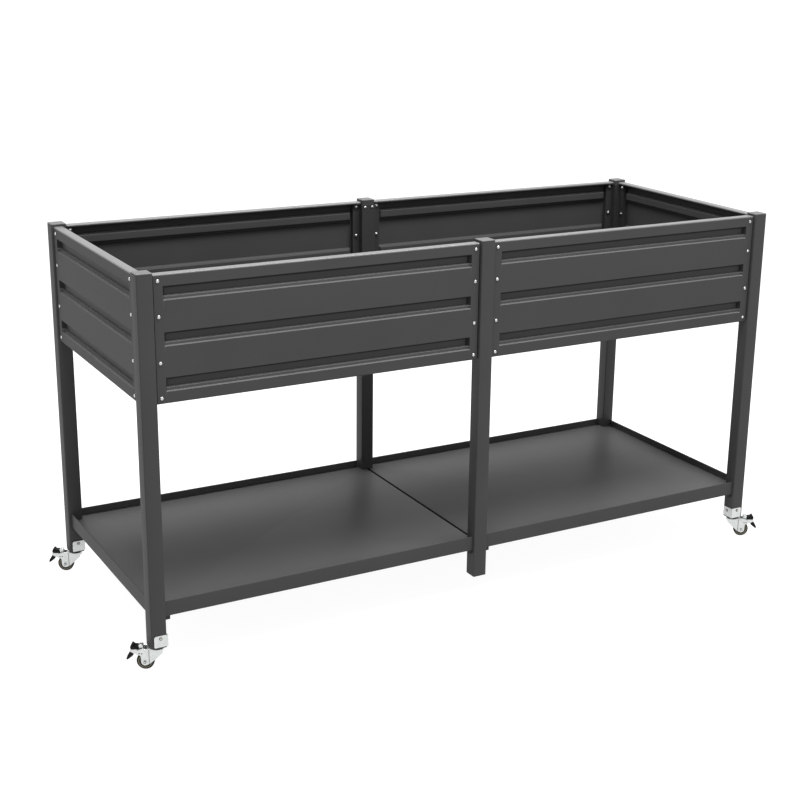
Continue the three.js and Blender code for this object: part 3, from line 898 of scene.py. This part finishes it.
def make_fork(tag):
    """Two cheeks, each stepped at a fold, under a round crown."""
    place = caster_place(tag)
    axle = wheel_height()
    outer = CHEEK_INNER + CHEEK
    rear_edge, front_edge = FOLD - FOLD_GAP / 2, FOLD + FOLD_GAP / 2
    rear = [(-15, FORK_TOP), (-15, FORK_TOP - 10), (4, axle + 5)]
    front = cheek_lobe(axle) + [
        (TRAIL + 9.6, axle + 13), (TRAIL + 11.5, axle + 16.4), (TRAIL + 20, axle + 17.6),
        (TRAIL + 20, PEDAL_PIVOT[1] + 3), (TRAIL + 6, FORK_TOP),
    ]
    whole = rear + front
    mesh = bmesh.new()
    plates(mesh, soften(whole, 1.6, 3), both_sides(CHEEK_INNER, CHEEK_INNER + SKIN), place)
    cut_rear = soften(rear + [(rear_edge, axle - 5.6), (rear_edge, FORK_TOP)], [1.6, 1.6, 1.6, 0.3, 0.3], 3)
    plates(mesh, cut_rear, both_sides(CHEEK_INNER + SKIN - 0.1, outer - 0.5), place, 0.25)
    cut_front = soften([(front_edge, FORK_TOP), (front_edge, axle - 6.2)] + front, 0.9, 3)
    plates(mesh, cut_front, both_sides(CHEEK_INNER + SKIN - 0.1, outer), place, 0.35)
    # painted shade: a dark strip in the axle plate look sits in each fold's gap, for the shadow along the fold
    # line
    fold_shade_strip = [(rear_edge - 0.2, FORK_TOP - 2), (rear_edge - 0.2, axle - 2), (front_edge + 0.2, axle - 2),
              (front_edge + 0.2, FORK_TOP - 2)]
    plates(mesh, fold_shade_strip, both_sides(CHEEK_INNER + SKIN - 0.2, outer - 0.9), place, 0.05, 1)
    crown = [(-15, -outer), (TRAIL - 4, -outer), (TRAIL - 4, outer), (-15, outer)]
    slab(mesh, soften(crown, 3, 4), FORK_TOP - CHEEK, FORK_TOP, 0.5, place)
    foot, bore, edge = FORK_TOP - CHEEK, 4.6, 0.6
    ring = [(bore, foot), (CROWN_RADIUS - edge, foot), (CROWN_RADIUS, foot + edge),
            (CROWN_RADIUS, FORK_TOP - edge), (CROWN_RADIUS - edge, FORK_TOP), (bore, FORK_TOP)]
    turned(mesh, ring, 44, place, ring=True)
    looks = ["zinc", "axle_steel"]
    make_piece(f"fork_shell_{tag}", mesh, looks, f"swivel_{tag}", [f"caster_fork_{tag}"])
    make_rivets(tag, place, outer)


def make_rivets(tag, place, outer):
    """Two rivets in each cheek; outer is from the wheel's middle to a cheek's outer face."""
    mesh = bmesh.new()
    for u, z in RIVET_PLACES:
        for sign in (-1, 1):
            spot = place @ Matrix.Translation((u, sign * outer, z))
            dome(mesh, spot @ Matrix.Rotation(-sign * math.pi / 2, 4, "X"), *RIVET, segments=16)
    make_piece(f"fork_rivets_{tag}", mesh, ["axle_steel"], f"swivel_{tag}")


def make_axle(tag):
    place = caster_place(tag) @ lying(TRAIL, wheel_height())
    outer = CHEEK_INNER + CHEEK + 0.3
    mesh = bmesh.new()
    turned(mesh, [(2.5, -outer), (2.5, outer)], 20, place)
    for turn in (0, math.pi):
        end = place @ Matrix.Rotation(turn, 4, "X") @ Matrix.Translation((0, 0, outer))
        turned(mesh, [(4.9, -0.1), (4.9, 0.4), (4.6, 0.6), (2.5, 0.6)], 24, end, 1)
        hex_nut(mesh, end @ Matrix.Translation((0, 0, 0.5)), 3.7, 1.9)
        dome(mesh, end @ Matrix.Translation((0, 0, 2.2)), 1.9, 0.6, 1, 16)
    looks = ["axle_steel", "zinc"]
    make_piece(f"axle_bolt_{tag}", mesh, looks, f"swivel_{tag}", [f"caster_axle_{tag}"])


def arc(centre_r, centre_h, radius, first, last, steps):
    """(radius, height) points of an arc in a turned profile, angles in degrees."""
    angles = [math.radians(first + (last - first) * k / steps) for k in range(steps + 1)]
    return [(centre_r + radius * math.cos(a), centre_h + radius * math.sin(a)) for a in angles]


def mirrored(profile):
    """A closed (radius, height) profile from its upper half."""
    return [(radius, -height) for radius, height in profile] + profile[::-1]


def make_tyre(tag):
    place = caster_place(tag) @ lying(TRAIL, wheel_height())
    radius = wheel_radius()
    half = WHEEL_WIDTH / 2
    crown = 3.2
    tyre = [(CORE_RADIUS - 1, half - 1.4), (CORE_RADIUS, half - 0.9)]
    tyre += arc(radius - crown, half - crown - 0.6, crown, 90, 0, 6)
    mesh = bmesh.new()
    turned(mesh, mirrored(tyre), 56, place, ring=True)
    make_piece(f"tyre_tread_{tag}", mesh, ["tyre"], f"wheel_{tag}", [f"caster_tyre_{tag}"])


def make_hub(tag):
    """A tan core ring round a dark recessed web and a boss."""
    place = caster_place(tag) @ lying(TRAIL, wheel_height())
    half = WHEEL_WIDTH / 2
    mesh = bmesh.new()
    core = [(HUB_RADIUS - 0.5, half - 1.6), (HUB_RADIUS, half - 0.8), (CORE_RADIUS - 0.5, half - 0.8),
            (CORE_RADIUS + 0.1, half - 1.4)]
    turned(mesh, mirrored(core), 48, place, 1, ring=True)
    web = [(2.8, half), (5.6, half), (6.0, half - 0.4), (6.0, half - 3.2), (12.0, half - 3.6),
           (13.2, half - 1.5), (HUB_RADIUS, half - 1.5)]
    turned(mesh, mirrored(web), 40, place, ring=True)
    make_piece(f"wheel_hub_{tag}", mesh, ["hub", "core"], f"wheel_{tag}", [f"caster_hub_{tag}"])


def make_pedal(tag):
    """A plated rocker whose tongue runs between a black tread and the black release pad below it."""
    place = caster_place(tag)
    half = LEVER_HALF
    mesh = bmesh.new()
    arm = [(31.6, -9.4), (31.6, 0.5), (33.5, 2.6), (42, 1.6), (42, -9.4)]
    plates(mesh, soften(arm, 1.2, 3), [(-half + 0.5, half - 0.5)], place, 0.6, 1)
    tongue = [(31.6, -8.8), (62.8, -10.0), (63.2, -14.8), (54, -20.2), (47.5, -21.6), (46, -23.8),
              (43.6, -22.3), (42, -18), (33, -15.5)]
    plates(mesh, soften(tongue, 0.9, 3), [(-half + 0.5, half - 0.5)], place, 0.6, 1)
    tread = [(40.5, -8.3), (40.5, -0.9), (44, 0.3), (54, 0.4), (55.7, 5.2), (58.2, 4.4), (61.8, -2.6),
             (62, -6.2), (60.4, -8.8)]
    plates(mesh, soften(tread, 1.0, 4), [(-half, half)], place, 0.9)
    pad = [(54.5, -20.0), (61.5, -16.6), (64.4, -18.4), (71.6, -31.5), (71.6, -35.6), (68.8, -36.4),
           (55, -25.4)]
    plates(mesh, soften(pad, 2.2, 4), [(-half + 0.3, half - 0.3)], place, 1.0)
    # cross ribs that keep a shoe from slipping off the tread
    for u in RIB_PLACES:
        rib = [(u - 0.6, -0.4), (u + 0.6, -0.4), (u + 0.6, 1.1), (u - 0.6, 1.1)]
        plates(mesh, soften(rib, 0.4, 2), [(-half + 1, half - 1)], place, 0.25)
    looks = ["pedal", "zinc"]
    make_piece(f"brake_rocker_{tag}", mesh, looks, f"brake_{tag}", [f"caster_pedal_{tag}"])


# CAD nodes that stay, each with a finished material


def dress_cad_nodes():
    slots = {row["node"]: row["material_slot"] for row in frame["record"]["subparts"]}
    for name, node in nodes.items():
        node.data.materials.clear()
        node.data.materials.append(LOOKS[slots[name]])


# Studio

FLOOR_REACH = 150.0
FLOOR_TONE = 0.12
FLOOR_GLOW = 0.94


def make_floor():
    mesh = bpy.data.meshes.new("studio_floor")
    corners = [(-FLOOR_REACH, -FLOOR_REACH, 0), (FLOOR_REACH, -FLOOR_REACH, 0),
               (FLOOR_REACH, FLOOR_REACH, 0), (-FLOOR_REACH, FLOOR_REACH, 0)]
    mesh.from_pydata(corners, [], [(0, 1, 2, 3)])
    material, _, shader = new_material("studio_paper")
    shader.inputs["Base Color"].default_value = (FLOOR_TONE, FLOOR_TONE, FLOOR_TONE, 1)
    shader.inputs["Roughness"].default_value = 0.9
    shader.inputs["Emission Color"].default_value = (1.0, 1.0, 1.0, 1)
    shader.inputs["Emission Strength"].default_value = FLOOR_GLOW
    mesh.materials.append(material)
    floor = bpy.data.objects.new("studio_floor", mesh)
    bpy.context.scene.collection.objects.link(floor)


def area_light(name, place, target, size, power):
    data = bpy.data.lights.new(name, "AREA")
    data.shape = "RECTANGLE"
    data.size, data.size_y = size
    data.energy = power
    light = bpy.data.objects.new(name, data)
    aim = (Vector(target) - Vector(place)).to_track_quat("-Z", "Y").to_matrix().to_4x4()
    light.matrix_world = Matrix.Translation(place) @ aim
    bpy.context.scene.collection.objects.link(light)


def make_studio():
    world = bpy.data.worlds.new("studio")
    bpy.context.scene.world = world
    world.use_nodes = True
    sky = world.node_tree.nodes["Background"]
    sky.inputs["Color"].default_value = (1.0, 1.0, 1.0, 1)
    sky.inputs["Strength"].default_value = 1.0
    make_floor()
    area_light("back_softbox", (0.3, 1.5, 4.2), (0, 0, 0.9), (4.0, 1.4), 300)
    area_light("front_softbox", (0.2, -1.3, 4.0), (0, 0, 0.8), (3.6, 1.2), 290)
    bpy.context.scene.view_settings.view_transform = "Standard"


make_camera()
dress_cad_nodes()
for tag in POSTS:
    make_post(tag)
    make_cap(tag)
for name in PANELS:
    place = panel_place(name)
    make_panel(name, *place)
    make_bolts(name, *place)
for side in SIDES:
    make_post_bolts(f"{side}_middle")
for end in ("left", "right"):
    make_tray(end)
for tag in CORNERS:
    make_mount(tag)
    make_fork(tag)
    make_axle(tag)
    make_tyre(tag)
    make_hub(tag)
    make_pedal(tag)
make_studio()
